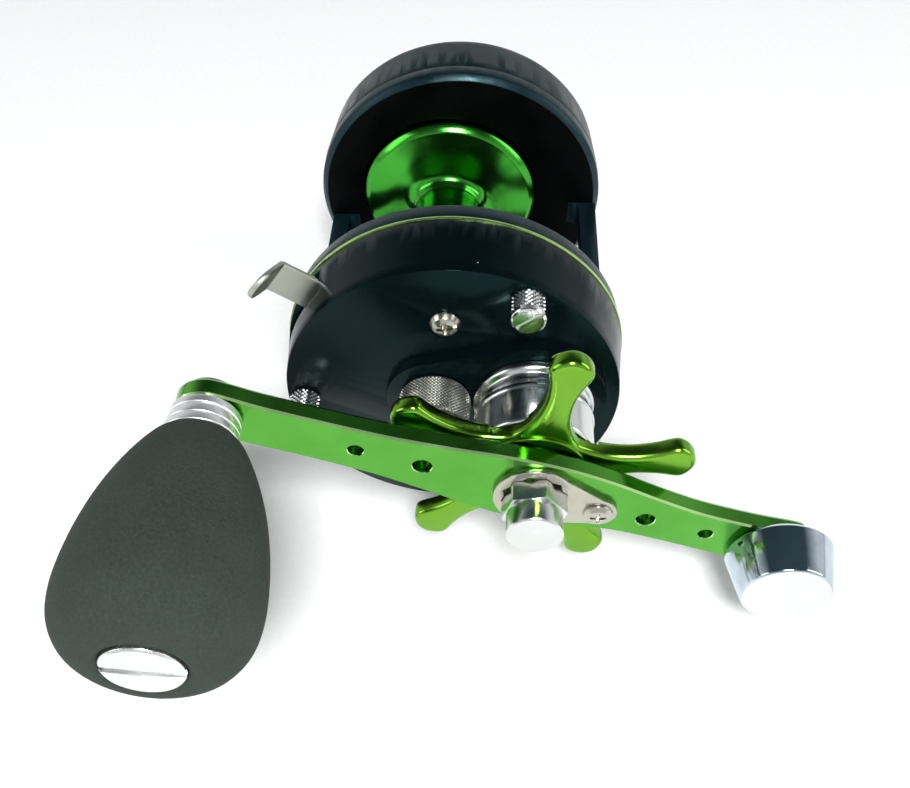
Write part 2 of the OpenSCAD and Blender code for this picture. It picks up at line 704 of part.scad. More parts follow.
module spring_washers() {
    color(steel) at_shaft() for (i = [0, 1])
        turned([[main_shaft_r, sleeve_end_x - 0.4 + i * 0.35], [4.2, sleeve_end_x - 0.3 + i * 0.35],
            [4.2, sleeve_end_x + i * 0.35], [main_shaft_r, sleeve_end_x - 0.1 + i * 0.35]], sides = 48);
}

// One drumstick arm of the star along +Y
module star_arm_outline() {
    tip_r = 3.4;
    reach = star_r - tip_r;
    polygon([[0, -4.6], [9, -3.2], [13, -2.3], [reach - 2, -2.6], [reach, -tip_r], [reach, tip_r], [reach - 2, 2.6],
        [13, 2.3], [9, 3.2], [0, 4.6]]);
    translate([reach, 0]) circle(r = tip_r, $fn = 48);
}

module star_outline() {
    circle(r = 8.2, $fn = 96);
    for (i = [0 : 4]) rotate(star_turn + 72 * i) star_arm_outline();
}

module star_drag() {
    color(green) at_shaft() difference() {
        union() {
            slab_x(star_x, star_x + 2.5) circle(r = 8.2, $fn = 96);
            slab_x(star_x, star_x + 2) star_outline();
            slab_x(star_x - 1.2, star_x + 2) difference() {
                star_outline();
                circle(r = 10.4, $fn = 96);
            }
        }
        rod_x(star_x - 3, star_x + 4, main_shaft_r + run_gap);
        rod_x(star_x - 3, star_x + 1.5, 5, sides = 6);
    }
}

module star_nut() {
    color(brass) at_shaft() difference() {
        rod_x(star_x + 0.2, star_x + 1.5, 4.96, sides = 6);
        rod_x(star_x - 1, star_x + 3, main_shaft_r + run_gap);
    }
}

// S-shaped crank arm: widest at the shaft, narrow towards both ends
module arm_outline() {
    knob_end_r = 4.6;
    tail_end_r = 5.2;
    translate([-arm_len, 0]) circle(r = knob_end_r, $fn = 64);
    translate([tail_len, 0]) circle(r = tail_end_r, $fn = 64);
    polygon([[-arm_len, -4.5], [-arm_len + 8, -4.1], [-24, -4.5], [-16, -5.5], [-9, -6.6], [-3, -7], [3, -6.7],
        [10, -5.3], [16, -4.4], [24, -4.3], [tail_len, -4.7], [tail_len, 4.8], [32, 4.4], [24, 4.5], [18, 5.4],
        [11, 6.5], [4, 7.1], [-2, 7], [-8, 6.5], [-15, 5.5], [-26, 4.6], [-arm_len + 8, 4.3], [-arm_len, 4.5]]);
}

module handle_arm() {
    color(green) at_crank() difference() {
        slab_x(arm_x, arm_front_x) arm_outline();
        intersection() {
            rod_x(arm_x - 1, arm_front_x + 1, main_shaft_r);
            translate([arm_x - 2, -main_shaft_r, -2.2]) cube([arm_t + 4, 2 * main_shaft_r, 4.4]);
        }
        for (u = [-17.6, 18.3]) rod_x(arm_x - 1, arm_front_x + 1, 1.5, u, 0, 32);
        for (u = [-27.7, 28.5]) rod_x(arm_x - 1, arm_front_x + 1, 1.25, u, 0, 32);
        rod_x(arm_x - 1, arm_front_x + 1, 1, 10.3, 0, 24);
        rod_x(arm_x - 1, arm_front_x + 1, 2.5, -arm_len, 0, 48);
        rod_x(arm_x - 1, arm_front_x + 1, 2, tail_len, 0, 48);
    }
}

module handle_washer() {
    color(steel) at_shaft() tube_x(arm_x - 0.3, arm_x, 5.6, main_shaft_r);
}

module handle_nut() {
    nut_r = 4.25;
    hex_r = 4.3 / cos(30);
    color([0.88, 0.88, 0.89]) at_crank() difference() {
        union() {
            rod_x(arm_front_x, arm_front_x + 4.1, hex_r, sides = 6);
            turned([[0, arm_front_x + 4], [nut_r - 0.1, arm_front_x + 4], [nut_r, arm_front_x + 4.4],
                [nut_r, arm_front_x + 7.5], [nut_r - 0.25, arm_front_x + 7.75], [0, arm_front_x + 7.75]], sides = 64);
        }
        rod_x(arm_front_x - 1, arm_front_x + 6.6, 2.25);
    }
}

module lock_plate() {
    plate_t = 0.9;
    tail = 10.3;
    hub_r = 6.2;
    tip_r = 2.9;
    color(steel) at_crank() difference() {
        union() {
            rod_x(arm_front_x, arm_front_x + plate_t, hub_r, sides = 96);
            rod_x(arm_front_x, arm_front_x + plate_t, tip_r, tail, 0, 48);
            slab_x(arm_front_x, arm_front_x + plate_t) polygon([[0, 1 - hub_r], [2.4, 0.2 - hub_r * 0.93],
                [tail + 0.9, 0.15 - tip_r * 0.93], [tail + 0.9, tip_r * 0.93 - 0.15], [2.4, hub_r * 0.93 - 0.2],
                [0, hub_r - 1]]);
        }
        for (turn = [0, 30]) rotate([turn, 0, 0]) rod_x(arm_front_x - 1, arm_front_x + 2, 5.05, sides = 6);
        rod_x(arm_front_x - 1, arm_front_x + 2, 1.05, tail, 0, 24);
    }
}

module lock_screw() {
    head_x = arm_front_x + 0.9;
    color(steel) at_crank() translate([0, 10.3, 0]) difference() {
        union() {
            turned([[0, head_x], [2.3, head_x], [2.2, head_x + 0.4], [1.5, head_x + 0.95], [0, head_x + 1.1]], sides = 48);
            rod_x(arm_x + 0.2, head_x, 1, sides = 24);
        }
        cross_recess(head_x + 1.1, 0.8, 2.4, 20);
    }
}

// ---------- knob and counterweight ----------

module at_knob() {
    at_crank() translate([0, -arm_len, 0]) children();
}

module knob_spindle() {
    color(steel) at_knob() {
        rod_x(arm_x - 0.8, arm_x, 3.6);
        rod_x(arm_x, arm_front_x + 0.15, 2.5);
        rod_x(arm_front_x + 0.15, knob_x + 36.9, 2);
    }
}

module knob_ferrule() {
    color([0.86, 0.87, 0.87]) at_knob() turned([
        [3.6, knob_x], [4.9, knob_x], [5.15, knob_x + 0.3], [5.15, knob_x + 1.4], [4.85, knob_x + 1.6],
        [5.2, knob_x + 1.8], [5.35, knob_x + 3.2], [5.05, knob_x + 3.4], [5.5, knob_x + 3.6], [5.7, knob_x + 4.9],
        [4.6, knob_x + 5.6], [3.6, knob_x + 5.6]], sides = 64);
}

module knob_core() {
    color(steel) at_knob() difference() {
        rod_x(knob_x, knob_x + 37.5, 3.6);
        rod_x(knob_x - 1, knob_x + 40, 3.1);
    }
}

module knob_grip() {
    color(foam) at_knob() turned([
        [3.6, knob_x + 5.6], [4.6, knob_x + 5.6], [5.7, knob_x + 4.9], [7, knob_x + 6.8], [9, knob_x + 10.8],
        [10.85, knob_x + 15.8], [12.1, knob_x + 20.8], [12.85, knob_x + 25.8], [13.05, knob_x + 30.4],
        [12.4, knob_x + 34], [10.8, knob_x + 36.7], [8.6, knob_x + 38.3], [5.4, knob_x + 38.9],
        [5.25, knob_x + 37.5], [3.6, knob_x + 37.5]],
        sides = 96);
}

module knob_cap() {
    color([0.86, 0.87, 0.87]) at_knob() difference() {
        turned([[0, knob_x + 37.5], [5.2, knob_x + 37.5], [5.2, knob_x + 38.9], [4.9, knob_x + 39.2], [0, knob_x + 39.4]],
            sides = 64);
        rotate([14, 0, 0]) translate([knob_x + 38.6, -6, -0.6]) cube([2, 12, 1.2]);
    }
}

module knob_bearings() {
    color(steel) at_knob() for (x = [knob_x + 0.6, knob_x + 32.5])
        translate([x, 0, 0]) ball_bearing(0, 2.5, 3.1, 2 + run_gap);
}

module counterweight() {
    color([0.88, 0.88, 0.89]) at_crank() translate([0, tail_len, 0]) difference() {
        turned([[0, arm_front_x], [7.7, arm_front_x], [8.45, arm_front_x + 0.8], [7, arm_front_x + 7.8],
            [6.7, arm_front_x + 8.1], [0, arm_front_x + 8.1]], sides = 96);
        rod_x(arm_front_x - 1, arm_front_x + 6, 1.9);
    }
}

module counterweight_screw() {
    color(steel) at_crank() translate([0, tail_len, 0]) difference() {
        union() {
            turned([[0, arm_x - 1.3], [2.6, arm_x - 1.2], [3.4, arm_x - 0.6], [3.4, arm_x], [0, arm_x]], sides = 48);
            rod_x(arm_x, arm_front_x + 5.5, 1.9, sides = 48);
        }
        translate([arm_x - 2, -2.4, -0.35]) cube([1.3, 4.8, 0.7]);
    }
}

// ---------- selection ----------

left_frame_ring();
right_frame_ring();
front_pillar();
rear_pillar();
foot_bridge();
reel_foot();
foot_rivets();
left_side_plate();
left_plate_screws();
left_bearing();
left_bearing_cap();
clicker_button();
clicker_pawl();
clicker_spring();
accent_ring();
gear_plate();
gear_plate_screws();
plate_studs();
right_cover();
thumb_screws();
cover_screw();
right_bearing();
cap_o_ring();
drag_sleeve();
one_way_bearing();
shaft_bush();
yoke_springs();
clutch_lever();
clutch_yoke();
pinion();
spool();
spool_shaft();
spool_pin();
click_ratchet();
cast_control_cap();
tension_shim();
drive_shaft();
shaft_ratchet();
anti_reverse_dog();
drive_gear();
drag_fibre_washers();
drag_metal_washers();
inner_sleeve();
spring_washers();
star_drag();
star_nut();
handle_arm();
handle_washer();
handle_nut();
lock_plate();
lock_screw();
knob_spindle();
knob_ferrule();
knob_core();
knob_grip();
knob_cap();
knob_bearings();
counterweight();
counterweight_screw();
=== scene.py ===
"""A right-hand conventional fishing reel with a star drag, a free-spool lever and a power knob."""

import json
import math

import bmesh
import bpy
from mathutils import Matrix, Vector


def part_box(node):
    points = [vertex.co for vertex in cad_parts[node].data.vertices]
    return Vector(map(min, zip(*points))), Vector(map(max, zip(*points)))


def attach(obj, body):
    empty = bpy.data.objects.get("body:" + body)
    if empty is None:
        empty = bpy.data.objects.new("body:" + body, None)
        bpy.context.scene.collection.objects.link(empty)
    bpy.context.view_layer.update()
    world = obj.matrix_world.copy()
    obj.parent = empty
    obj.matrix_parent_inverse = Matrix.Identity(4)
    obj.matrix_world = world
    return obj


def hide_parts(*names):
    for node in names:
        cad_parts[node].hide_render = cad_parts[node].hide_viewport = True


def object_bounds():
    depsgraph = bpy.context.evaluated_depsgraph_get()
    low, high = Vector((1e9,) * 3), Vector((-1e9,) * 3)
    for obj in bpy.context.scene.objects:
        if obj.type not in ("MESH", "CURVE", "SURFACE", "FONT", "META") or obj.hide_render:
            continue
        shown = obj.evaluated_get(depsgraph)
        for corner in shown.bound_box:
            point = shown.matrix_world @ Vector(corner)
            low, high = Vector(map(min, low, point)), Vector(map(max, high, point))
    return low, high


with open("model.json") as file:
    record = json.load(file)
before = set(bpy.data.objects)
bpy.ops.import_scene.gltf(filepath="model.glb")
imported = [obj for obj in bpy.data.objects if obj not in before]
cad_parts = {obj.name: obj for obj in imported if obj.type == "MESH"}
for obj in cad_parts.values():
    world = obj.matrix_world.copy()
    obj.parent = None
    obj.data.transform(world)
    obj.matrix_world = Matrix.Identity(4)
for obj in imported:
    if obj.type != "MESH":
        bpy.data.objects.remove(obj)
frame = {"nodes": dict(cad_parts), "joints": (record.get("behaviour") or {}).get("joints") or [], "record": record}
cad_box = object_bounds()

MM = 0.001
NODES = frame["nodes"]


# ---------- places, from the frame ----------

def joint_point(name):
    """A point on a hinge's axis, in metres."""
    return Vector(next(j for j in frame["joints"] if j["name"] == name)["pos_m"])


def islands(node):
    """The boxes (low corner, high corner) of a node's separate solids, in the mesh's own order."""
    bm = bmesh.new()
    bm.from_mesh(NODES[node].data)
    bmesh.ops.remove_doubles(bm, verts=bm.verts, dist=1e-6)
    left, boxes = set(bm.verts), []
    for start in bm.verts:
        if start not in left:
            continue
        left.remove(start)
        todo, group = [start], [start]
        while todo:
            for edge in todo.pop().link_edges:
                for v in edge.verts:
                    if v in left:
                        left.remove(v)
                        todo.append(v)
                        group.append(v)
        boxes.append(tuple(Vector(f(v.co[i] for v in group) for i in range(3)) for f in (min, max)))
    bm.free()
    return boxes


SHAFT = joint_point("crank_turn")
SPOOL = joint_point("spool_spin")
KNOB = joint_point("knob_spin")
PIVOT = joint_point("lever_press")

ARM_DIR = Vector((0, SHAFT.y - KNOB.y, SHAFT.z - KNOB.z)).normalized()
ARM_UP = Vector((0, -ARM_DIR.z, ARM_DIR.y))
ARM_LEN = (Vector((0, SHAFT.y, SHAFT.z)) - Vector((0, KNOB.y, KNOB.z))).length
ARM_BACK, ARM_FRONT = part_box("handle_arm")[0].x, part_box("handle_arm")[1].x
WEIGHT_LOW, WEIGHT_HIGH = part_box("counterweight")
TAIL_LEN = ((WEIGHT_LOW + WEIGHT_HIGH) / 2 - SHAFT).dot(ARM_DIR)


def plane_at(centre, along=Vector((0, 1, 0)), up=Vector((0, 0, 1))):
    """Matrix from (x, u, w) in millimetres to the frame in metres; x stays the frame's own X."""
    m = Matrix.Identity(4)
    for i in range(3):
        m[i][0] = (MM, 0, 0)[i]
        m[i][1] = along[i] * MM
        m[i][2] = up[i] * MM
        m[i][3] = (0, centre.y, centre.z)[i]
    return m


# ---------- materials ----------

def tree_of(name):
    material = bpy.data.materials.new(name)
    material.use_nodes = True
    tree = material.node_tree
    tree.nodes.clear()
    shader = tree.nodes.new("ShaderNodeBsdfPrincipled")
    out = tree.nodes.new("ShaderNodeOutputMaterial")
    tree.links.new(shader.outputs[0], out.inputs[0])
    return material, tree, shader


def add(tree, kind, inputs, **settings):
    """Adds a node, sets its properties and fills or links its inputs by name or number."""
    node = tree.nodes.new("ShaderNode" + kind)
    for key, value in settings.items():
        setattr(node, key, value)
    for key, value in inputs.items():
        if hasattr(value, "is_output"):
            tree.links.new(value, node.inputs[key])
        else:
            node.inputs[key].default_value = value
    return node


def maths(tree, operation, a, b=0.0):
    return add(tree, "Math", {0: a, 1: b}, operation=operation).outputs[0]


def place(tree, scale=(1, 1, 1)):
    """Coordinates in metres that ride with the piece, stretched by scale."""
    coord = tree.nodes.new("ShaderNodeTexCoord").outputs["Object"]
    return add(tree, "Mapping", {"Vector": coord, "Scale": scale}).outputs[0]


def turning_lines(tree, axis, pitch):
    """Noise that runs in rings around an axis along X, as a lathe tool leaves it."""
    x, y, z = add(tree, "SeparateXYZ", {0: place(tree)}).outputs
    dy, dz = maths(tree, "SUBTRACT", y, axis.y), maths(tree, "SUBTRACT", z, axis.z)
    radius = maths(tree, "SQRT", maths(tree, "ADD", maths(tree, "MULTIPLY", dy, dy),
                                       maths(tree, "MULTIPLY", dz, dz)))
    where = add(tree, "CombineXYZ", {0: maths(tree, "DIVIDE", x, pitch),
                                     1: maths(tree, "DIVIDE", radius, pitch)})
    return add(tree, "TexNoise", {"Vector": where.outputs[0], "Scale": 1.0, "Detail": 3.0}).outputs[0]


def mixed(tree, factor, dark, light):
    ramp = tree.nodes.new("ShaderNodeValToRGB")
    low, high = ramp.color_ramp.elements[0], ramp.color_ramp.elements[1]
    low.position, high.position = 0.3, 0.7
    low.color, high.color = (*dark, 1), (*light, 1)
    tree.links.new(factor, ramp.inputs[0])
    return ramp.outputs[0]


def spread(tree, value, low, high):
    return add(tree, "MapRange", {"Value": value, "From Min": 0.25, "From Max": 0.75, "To Min": low,
                                  "To Max": high}).outputs[0]


def shaded(color, amount):
    return tuple(min(1.0, c * amount) for c in color)


SMEAR_SCALE, DUST_SCALE, SPECK_SIZE = 140.0, 420.0, 0.055
DUST = (0.35, 0.38, 0.38)
PORE_SCALE, GRIT_SCALE, CLOUD_SCALE = 1900.0, 2600.0, 90.0


def metal(name, color, roughness, metallic=1.0, grain=0.00012, bump=0.03, tint=0.12, rings=None,
          stretch=(1, 1, 1), specular=0.5, dust=0.0, sheen_color=(1, 1, 1), smears=0.35):
    """A hard surface: fine grain and soft smears, with turning rings about an axis and dust where asked."""
    material, tree, shader = tree_of(name)
    at = place(tree, stretch)
    fine = add(tree, "TexNoise", {"Vector": at, "Scale": 1 / grain, "Detail": 2.0}).outputs[0]
    smear = add(tree, "TexNoise", {"Vector": place(tree), "Scale": SMEAR_SCALE, "Detail": 4.0,
                                   "Roughness": 0.6}).outputs[0]
    relief = fine
    if rings:
        lines = turning_lines(tree, rings, grain)
        relief = maths(tree, "ADD", maths(tree, "MULTIPLY", lines, 0.8), maths(tree, "MULTIPLY", fine, 0.2))
    color_out = mixed(tree, smear, shaded(color, 1 - tint), shaded(color, 1 + tint))
    if dust:
        cells = add(tree, "TexVoronoi", {"Vector": place(tree), "Scale": DUST_SCALE, "Randomness": 1.0})
        speck = maths(tree, "LESS_THAN", cells.outputs["Distance"], SPECK_SIZE)
        pick = add(tree, "SeparateColor", {0: cells.outputs["Color"]}).outputs[0]
        speck = maths(tree, "MULTIPLY", speck, maths(tree, "GREATER_THAN", pick, 1 - dust))
        color_out = add(tree, "Mix", {0: speck, 6: color_out, 7: (*DUST, 1)}, data_type="RGBA").outputs[2]
    tree.links.new(color_out, shader.inputs["Base Color"])
    rough = maths(tree, "MULTIPLY", spread(tree, smear, 1 - smears, 1 + smears),
                  spread(tree, relief, roughness * 0.8, roughness * 1.2))
    tree.links.new(rough, shader.inputs["Roughness"])
    shader.inputs["Metallic"].default_value = metallic
    shader.inputs["Specular IOR Level"].default_value = specular
    shader.inputs["Specular Tint"].default_value = (*sheen_color, 1)
    bump_node = add(tree, "Bump", {"Height": relief, "Strength": bump, "Distance": grain})
    tree.links.new(bump_node.outputs[0], shader.inputs["Normal"])
    return material


def foam(name, color):
    """Closed-cell foam ground to shape: mottled, matt and pitted with fine pores."""
    material, tree, shader = tree_of(name)
    cells = add(tree, "TexVoronoi", {"Vector": place(tree), "Scale": PORE_SCALE}).outputs["Distance"]
    grit = add(tree, "TexNoise", {"Vector": place(tree), "Scale": GRIT_SCALE, "Detail": 3.0,
                                  "Roughness": 0.7}).outputs[0]
    cloud = add(tree, "TexNoise", {"Vector": place(tree), "Scale": CLOUD_SCALE, "Detail": 3.0}).outputs[0]
    blend = maths(tree, "ADD", maths(tree, "MULTIPLY", grit, 0.7), maths(tree, "MULTIPLY", cloud, 0.3))
    tree.links.new(mixed(tree, blend, shaded(color, 0.62), shaded(color, 1.45)), shader.inputs["Base Color"])
    tree.links.new(spread(tree, grit, 0.8, 0.98), shader.inputs["Roughness"])
    shader.inputs["Specular IOR Level"].default_value = 0.25
    height = maths(tree, "ADD", maths(tree, "MULTIPLY", cells, 0.6), maths(tree, "MULTIPLY", grit, 0.7))
    bump_node = add(tree, "Bump", {"Height": height, "Strength": 0.75, "Distance": 0.00016})
    tree.links.new(bump_node.outputs[0], shader.inputs["Normal"])
    return material


NAVY = (0.0022, 0.0085, 0.0115)
TEAL = (0.5, 0.92, 1.0)
GREEN = (0.095, 0.36, 0.045)
NICKEL = (0.46, 0.445, 0.38)

MATERIALS = {
    "navy_anodised": metal("navy_anodised", NAVY, 0.34, metallic=0.0, grain=0.00009, bump=0.08, specular=0.28,
                           dust=0.02, sheen_color=TEAL),
    "cover_gloss": metal("cover_gloss", (0.001, 0.003, 0.004), 0.24, metallic=0.0, grain=0.00012, bump=0.03,
                         specular=0.14, dust=0.05, sheen_color=(0.3, 0.9, 1.0)),
    "lime_anodised": metal("lime_anodised", (0.42, 0.66, 0.20), 0.3, bump=0.03),
    "green_anodised": metal("green_anodised", GREEN, 0.19, grain=0.00010, bump=0.05, tint=0.08),
    "bright_steel": metal("bright_steel", (0.66, 0.68, 0.67), 0.2, grain=0.00011, bump=0.05, rings=SHAFT,
                          tint=0.05),
    "chrome": metal("chrome", (0.50, 0.58, 0.65), 0.08, bump=0.02, tint=0.22, smears=0.3),
    "nickel": metal("nickel", NICKEL, 0.26, grain=0.00008, bump=0.06, tint=0.08),
    "steel": metal("steel", (0.55, 0.55, 0.53), 0.3, grain=0.0001, bump=0.06),
    "yoke_alloy": metal("yoke_alloy", (0.66, 0.67, 0.68), 0.3, grain=0.0001, bump=0.06),
    "brass": metal("brass", (0.72, 0.52, 0.22), 0.3, grain=0.0001, bump=0.06),
    "fibre": metal("fibre", (0.10, 0.07, 0.045), 0.8, metallic=0.0, bump=0.3),
    "rubber_seal": metal("rubber_seal", (0.02, 0.02, 0.02), 0.6, metallic=0.0, bump=0.1),
    "foam_grip": foam("foam_grip", (0.026, 0.036, 0.029)),
}
GREEN_SPOOL = metal("green_spool", (0.05, 0.33, 0.035), 0.17, grain=0.00012, bump=0.06, rings=SPOOL,
                    tint=0.06)
# The chamfer's lighter green: a polished edge, partly a painted highlight
GREEN_EDGE_HIGHLIGHT = metal("green_edge_highlight", (0.55, 0.86, 0.36), 0.1, bump=0.01, tint=0.05)
GREEN_STAR = metal("green_star", (0.16, 0.37, 0.035), 0.2, grain=0.00012, bump=0.03, tint=0.06)
KNOB_STEEL = metal("knob_steel", (0.84, 0.85, 0.85), 0.34, grain=0.00012, bump=0.05, rings=KNOB, tint=0.04)
BRUSHED_END = metal("brushed_end", (0.72, 0.74, 0.73), 0.24, grain=0.00007, bump=0.12, stretch=(1, 0.06, 1),
                    tint=0.05)
KNURL_NICKEL = metal("knurl_nickel", (0.78, 0.79, 0.70), 0.24, grain=0.0001, bump=0.04, tint=0.06)
# Painted shade for the deep faces of a knurl
KNURL_SHADE = metal("knurl_shade", (0.10, 0.105, 0.09), 0.4, grain=0.0001, bump=0.04, tint=0.1)
BRIGHT_SCREW = metal("bright_screw", (0.84, 0.85, 0.84), 0.14, grain=0.0001, bump=0.04, tint=0.05)
# Painted shade: a near-black for faces that lie in deep shade
SHADE_BLACK = metal("shade_black", (0.0004, 0.0007, 0.0009), 0.5, metallic=0.0, grain=0.0001, bump=0.05,
                    specular=0.05)
LEVER_STEEL = metal("lever_steel", (0.42, 0.44, 0.38), 0.38, grain=0.00008, bump=0.08, tint=0.08)

SLOTS = {s["node"]: s["material_slot"] for s in frame["record"]["subparts"]}
for node_name, node_object in NODES.items():
    node_object.data.materials.clear()
    node_object.data.materials.append(MATERIALS[SLOTS[node_name]])


# ---------- mesh work ----------

FLAT_ANGLE, SLIGHT_TURN, EDGE_ANGLE = math.radians(0.6), math.radians(12), math.radians(28)


def finished(name, mesh, nodes, materials=None, sharp=32.0):
    """Makes a piece of a mesh, smooth except at its edges, that rides with and stands for CAD nodes."""
    piece = bpy.data.objects.new(name, mesh)
    bpy.context.scene.collection.objects.link(piece)
    slot = SLOTS[nodes[0]]
    mesh.materials.clear()
    for material in materials or [MATERIALS[slot]]:
        mesh.materials.append(material)
    mesh.shade_smooth()
    mesh.set_sharp_from_angle(angle=math.radians(sharp))
    body = next(b for b, members in frame["record"]["behaviour"]["bodies"].items() if nodes[0] in members)
    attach(piece, body)
    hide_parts(*nodes)
    return piece


def mesh_from(name, vertices, faces, matrix):
    mesh = bpy.data.meshes.new(name)
    mesh.from_pydata(vertices, [], faces)
    bm = bmesh.new()
    bm.from_mesh(mesh)
    bmesh.ops.remove_doubles(bm, verts=bm.verts, dist=1e-5)
    bmesh.ops.recalc_face_normals(bm, faces=bm.faces)
    bm.to_mesh(mesh)
    bm.free()
    mesh.transform(matrix)
    mesh.update()
    return mesh


def skin(rings, closed=True):
    """Faces between rings of equal length; closed joins the last ring to the first."""
    n, faces = len(rings[0]), []
    vertices = [p for ring in rings for p in ring]
    for i in range(len(rings) - (0 if closed else 1)):
        a, b = i * n, (i + 1) % len(rings) * n
        faces += [(a + j, a + (j + 1) % n, b + (j + 1) % n, b + j) for j in range(n)]
    return vertices, faces


def spline(points, steps, closed=False):
    """Catmull-Rom curve through flat points."""
    out, n = [], len(points)
    for i in range(n if closed else n - 1):
        p = [Vector(points[(i + k) % n] if closed else points[min(max(i + k, 0), n - 1)])
             for k in (-1, 0, 1, 2)]
        for s in range(steps):
            t = s / steps
            out.append(0.5 * (2 * p[1] + (p[2] - p[0]) * t + (2 * p[0] - 5 * p[1] + 4 * p[2] - p[3]) * t * t
                              + (3 * p[1] - p[0] - 3 * p[2] + p[3]) * t ** 3))
    return out if closed else out + [Vector(points[-1])]


def lathe(profile, matrix, steps, name):
    """A closed profile of (radius, x) in millimetres, turned about the X axis."""
    rings = [[(x, r * math.cos(a), r * math.sin(a)) for a in (math.tau * k / steps for k in range(steps))]
             for r, x in profile]
    return mesh_from(name, *skin(rings), matrix=matrix)


def rounded_corners(profile, radius, steps=3):
    """Rounds a closed profile's corners, apart from slight ones and those on the axis."""
    out, n = [], len(profile)
    for i in range(n):
        before, here, after = (Vector(profile[(i + k) % n]) for k in (-1, 0, 1))
        a, b = before - here, after - here
        if a.length < 1e-6 or b.length < 1e-6 or here[0] < 0.01:
            out.append(tuple(here))
            continue
        turn = math.pi - a.angle(b)
        if turn < SLIGHT_TURN:
            out.append(tuple(here))
            continue
        cut = min(radius, 0.45 * a.length, 0.45 * b.length)
        start, end = here + a.normalized() * cut, here + b.normalized() * cut
        for s in range(steps + 1):
            t = s / steps
            out.append(tuple(start * (1 - t) ** 2 + here * 2 * t * (1 - t) + end * t * t))
    return out


def baked(piece_mesh, modifiers):
    """The mesh after its modifiers, with no modifier left on it."""
    tool = bpy.data.objects.new("tool", piece_mesh)
    bpy.context.scene.collection.objects.link(tool)
    for kind, settings in modifiers:
        modifier = tool.modifiers.new(kind.lower(), kind)
        for key, value in settings.items():
            setattr(modifier, key, value)
    bpy.context.view_layer.update()
    result = bpy.data.meshes.new_from_object(tool.evaluated_get(bpy.context.evaluated_depsgraph_get()))
    bpy.data.objects.remove(tool)
    return result


def cut(mesh, cutters):
    """Takes the cutter meshes away from a mesh."""
    tools = []
    for cutter in cutters:
        tool = bpy.data.objects.new("cutter", cutter)
        bpy.context.scene.collection.objects.link(tool)
        tools.append(tool)
    result = baked(mesh, [("BOOLEAN", {"object": t, "operation": "DIFFERENCE", "solver": "EXACT"})
                          for t in tools])
    for tool in tools:
        bpy.data.objects.remove(tool)
    return result


def joined(meshes, into):
    """Puts several meshes into one, where each keeps its own closed skin."""
    bm = bmesh.new()
    for mesh in meshes:
        bm.from_mesh(mesh)
    bm.to_mesh(into)
    bm.free()
    return into


def rounded(node, width, segments=2, materials=None):
    """A CAD node's own shape with its sharp edges broken, as a deburred part has."""
    mesh = NODES[node].data.copy()
    bm = bmesh.new()
    bm.from_mesh(mesh)
    bmesh.ops.remove_doubles(bm, verts=bm.verts, dist=2e-6)
    bmesh.ops.dissolve_limit(bm, angle_limit=FLAT_ANGLE, verts=bm.verts, edges=bm.edges)
    for face in bm.faces:
        face.smooth = True
    bm.to_mesh(mesh)
    bm.free()
    mesh = baked(mesh, [("BEVEL", {"width": width * MM, "segments": segments, "limit_method": "ANGLE",
                                   "harden_normals": True, "angle_limit": EDGE_ANGLE,
                                   "use_clamp_overlap": True})])
    return finished(node + "_finished", mesh, [node], materials)


def knurled(radius, x0, x1, starts, pitch, depth, matrix, name):
    """A closed drum from x0 to x1: raised diamonds around its side, chamfered edges and flat ends."""
    around, edge = starts * 6, 0.35
    rows = math.ceil((x1 - x0) / pitch * 8)
    turns = [math.tau * k / around for k in range(around)]

    def height(a, x):
        wave = [abs((starts * a / math.tau + s * x / pitch) % 1.0 - 0.5) * 2 for s in (1, -1)]
        return depth * min(0.8, 1 - max(wave)) / 0.8

    rim = [((radius - edge) * math.cos(a), (radius - edge) * math.sin(a)) for a in turns]
    rings = [[(x0, 0, 0)] * around, [(x0, *p) for p in rim]]
    for k in range(rows + 1):
        x = x0 + edge + (x1 - x0 - 2 * edge) * k / rows
        radii = [radius - depth + height(a, x) for a in turns]
        rings.append([(x, r * math.cos(a), r * math.sin(a)) for r, a in zip(radii, turns)])
    rings += [[(x1, *p) for p in rim], [(x1, 0, 0)] * around]
    return mesh_from(name, *skin(rings, closed=False), matrix=matrix)


def paint_groove_shade(piece, axis, depth):
    """Gives the second material, painted shade, to the faces of a knurled side that lie deeper than depth."""
    mesh = piece.data
    radius = [math.hypot(v.co.y - axis.y, v.co.z - axis.z) for v in mesh.vertices]
    ridge = max(radius)
    for face in mesh.polygons:
        face_radius = sum(radius[i] for i in face.vertices) / len(face.vertices)
        if abs(face.normal.x) < 0.8 and face_radius < ridge - depth:
            face.material_index = 1


def box_mesh(low, high, matrix):
    corners = [(x, y, z) for x in (low[0], high[0]) for y in (low[1], high[1]) for z in (low[2], high[2])]
    faces = [(0, 1, 3, 2), (4, 6, 7, 5), (0, 4, 5, 1), (2, 3, 7, 6), (0, 2, 6, 4), (1, 5, 7, 3)]
    return mesh_from("block", corners, faces, matrix)


def offset_outline(points, distance):
    """A closed, counter-clockwise outline moved inwards point by point."""
    out, n = [], len(points)
    for i in range(n):
        along = (points[(i + 1) % n] - points[i - 1]).normalized()
        out.append(points[i] + Vector((-along[1], along[0])) * distance)
    return out


# ---------- housing ----------

# The left ring's face towards the spool is painted black as painted shade, for the deep shade it lies in
ring_piece = rounded("left_frame_ring", 0.15, materials=[MATERIALS["navy_anodised"], SHADE_BLACK])
for face in ring_piece.data.polygons:
    if face.normal.x > 0.9:
        face.material_index = 1

HOUSING_EDGES = {
    "right_frame_ring": 0.2, "front_pillar": 0.3, "rear_pillar": 0.3, "foot_bridge": 0.3, "reel_foot": 0.3,
    "left_side_plate": 0.15, "accent_ring": 0.08, "left_plate_screws": 0.1, "left_bearing_cap": 0.12,
    "clicker_button": 0.15, "foot_rivets": 0.12, "right_cover": 0.18, "counterweight_screw": 0.1,
}
for housing_node, edge_width in HOUSING_EDGES.items():
    rounded(housing_node, edge_width)

